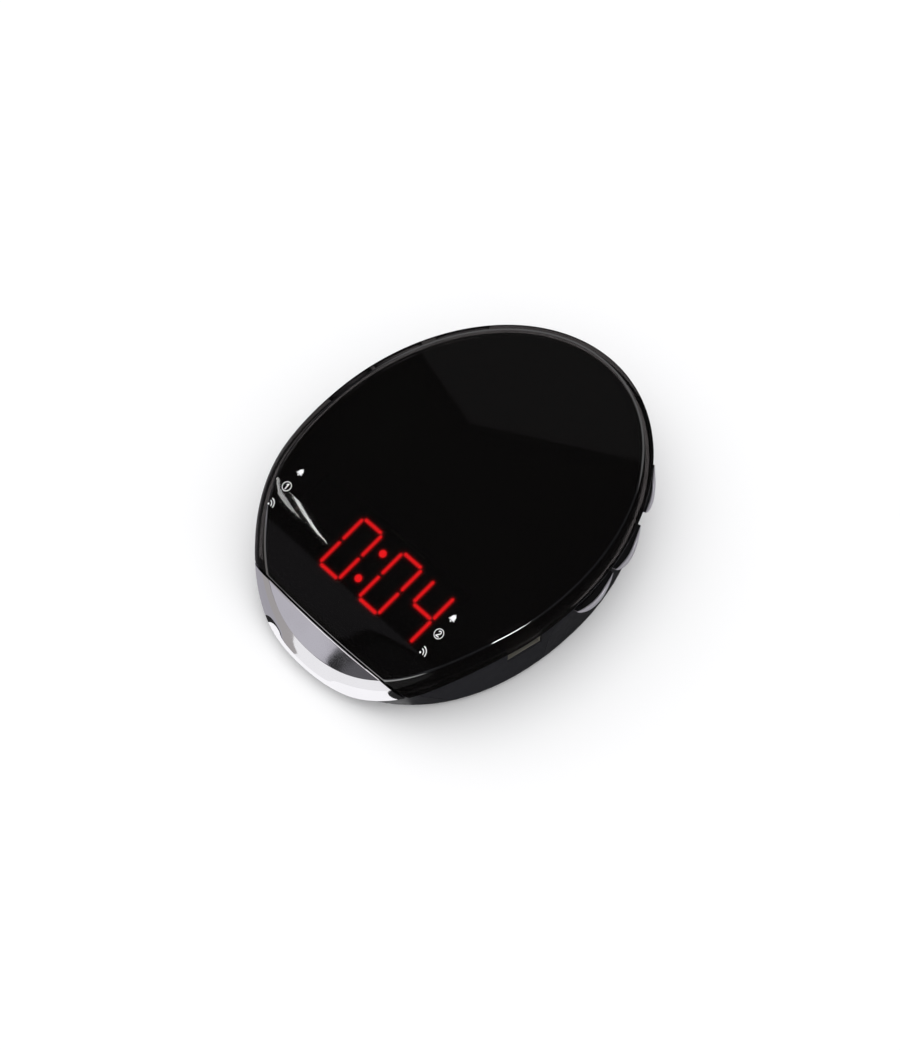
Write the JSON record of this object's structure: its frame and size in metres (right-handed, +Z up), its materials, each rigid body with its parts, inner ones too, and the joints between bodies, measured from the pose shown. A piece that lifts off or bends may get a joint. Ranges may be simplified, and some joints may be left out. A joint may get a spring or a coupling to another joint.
{
  "type": "clock radio",
  "caption": "Pebble-shaped clock radio with a black window over a red digital display, a chrome snooze bar, side buttons and a USB socket.",
  "frame": {"origin": "centre of the body's footprint, at the height of the feet's contact with the table", "axes": "+Z up, -Y towards the chrome snooze bar at the front, +X towards the side with the USB socket"},
  "size_m": [0.1202, 0.1504, 0.0352],
  "materials": {
    "window_gloss": "polished, lightly smoked",
    "window_print": "pad-printed white",
    "chrome_bar": "bright plated",
    "base_black": "fine spark texture",
    "panel_black": "smooth satin",
    "button_silver": "satin metallic paint",
    "inner_black": "moulded",
    "switch_black": "moulded",
    "rubber_dark": "soft matt",
    "steel_zinc": "zinc plated",
    "board_green": "solder mask",
    "chip_black": "moulded epoxy",
    "can_tin": "tinned",
    "cap_sleeve": "shrink sleeve",
    "heat_aluminium": "extruded",
    "usb_steel": "nickel plated",
    "jack_brass": "plated",
    "display_body": "moulded, black face",
    "digit_red": "lit red diffuser",
    "digit_dark": "unlit diffuser",
    "lamp_amber": "diffused resin",
    "ribbon_grey": "flat flexible cable",
    "basket_steel": "pressed steel, grey paint",
    "magnet_dark": "plated magnet",
    "cone_paper": "pulp paper",
    "lead_red": "stranded wire sleeve",
    "cell_jacket": "printed jacket"
  },
  "bodies": {
    "housing": {"window_cover": "window_gloss", "window_legends": "window_print", "upper_chassis": "inner_black", "snooze_switch": "switch_black", "base_housing": "base_black", "side_panel_right": "panel_black", "side_panel_left": "panel_black", "rubber_feet": "rubber_dark", "housing_screws": "steel_zinc", "switch_right_front": "switch_black", "switch_right_middle": "switch_black", "switch_right_rear": "switch_black", "switch_left_front": "switch_black", "switch_left_middle": "switch_black", "switch_left_rear": "switch_black", "main_board": "board_green", "clock_chip": "chip_black", "tuner_can": "can_tin", "capacitors": "cap_sleeve", "quartz_crystal": "can_tin", "heat_sink": "heat_aluminium", "usb_shell": "usb_steel", "usb_tongue": "chip_black", "dc_jack": "switch_black", "dc_jack_pin": "jack_brass", "aerial_grommet": "rubber_dark", "display_board": "board_green", "display_module": "display_body", "digits_lit": "digit_red", "digits_dark": "digit_dark", "colon_dots": "digit_red", "indicator_lamps": "lamp_amber", "display_ribbon": "ribbon_grey", "speaker_basket": "basket_steel", "speaker_magnet": "magnet_dark", "speaker_cone": "cone_paper", "speaker_screws": "steel_zinc", "speaker_leads": "lead_red", "backup_cells": "cell_jacket", "cell_springs": "steel_zinc", "cell_plates": "steel_zinc"},
    "snooze_bar": {"snooze_bar": "chrome_bar", "snooze_stem": "switch_black"},
    "button_right_front": {"button_right_front": "button_silver", "carrier_right_front": "switch_black"},
    "button_right_middle": {"button_right_middle": "button_silver", "carrier_right_middle": "switch_black"},
    "button_right_rear": {"button_right_rear": "button_silver", "carrier_right_rear": "switch_black"},
    "button_left_front": {"button_left_front": "button_silver", "carrier_left_front": "switch_black"},
    "button_left_middle": {"button_left_middle": "button_silver", "carrier_left_middle": "switch_black"},
    "button_left_rear": {"button_left_rear": "button_silver", "carrier_left_rear": "switch_black"},
    "battery_door": {"battery_door": "base_black"}
  },
  "joints": [
    {"name": "snooze_press", "type": "slide", "parent": "housing", "child": "snooze_bar", "axis": [0, 0.6361, -0.7716], "range_m": [0, 0.0007], "stiffness_N_per_m": 1200, "springref_m": -0.0004},
    {"name": "press_right_front", "type": "slide", "parent": "housing", "child": "button_right_front", "axis": [-0.9979, -0.0655, 0], "range_m": [0, 0.0008], "stiffness_N_per_m": 900, "springref_m": -0.0003},
    {"name": "press_right_middle", "type": "slide", "parent": "housing", "child": "button_right_middle", "axis": [-0.961, -0.2765, 0], "range_m": [0, 0.0008], "stiffness_N_per_m": 900, "springref_m": -0.0003},
    {"name": "press_right_rear", "type": "slide", "parent": "housing", "child": "button_right_rear", "axis": [-0.8397, -0.5431, 0], "range_m": [0, 0.0008], "stiffness_N_per_m": 900, "springref_m": -0.0003},
    {"name": "press_left_front", "type": "slide", "parent": "housing", "child": "button_left_front", "axis": [0.9979, -0.0655, 0], "range_m": [0, 0.0008], "stiffness_N_per_m": 900, "springref_m": -0.0003},
    {"name": "press_left_middle", "type": "slide", "parent": "housing", "child": "button_left_middle", "axis": [0.961, -0.2765, 0], "range_m": [0, 0.0008], "stiffness_N_per_m": 900, "springref_m": -0.0003},
    {"name": "press_left_rear", "type": "slide", "parent": "housing", "child": "button_left_rear", "axis": [0.8397, -0.5431, 0], "range_m": [0, 0.0008], "stiffness_N_per_m": 900, "springref_m": -0.0003},
    {"name": "battery_door_slide", "type": "slide", "parent": "housing", "child": "battery_door", "axis": [0, 1, 0], "range_m": [0, 0.045]}
  ]
}
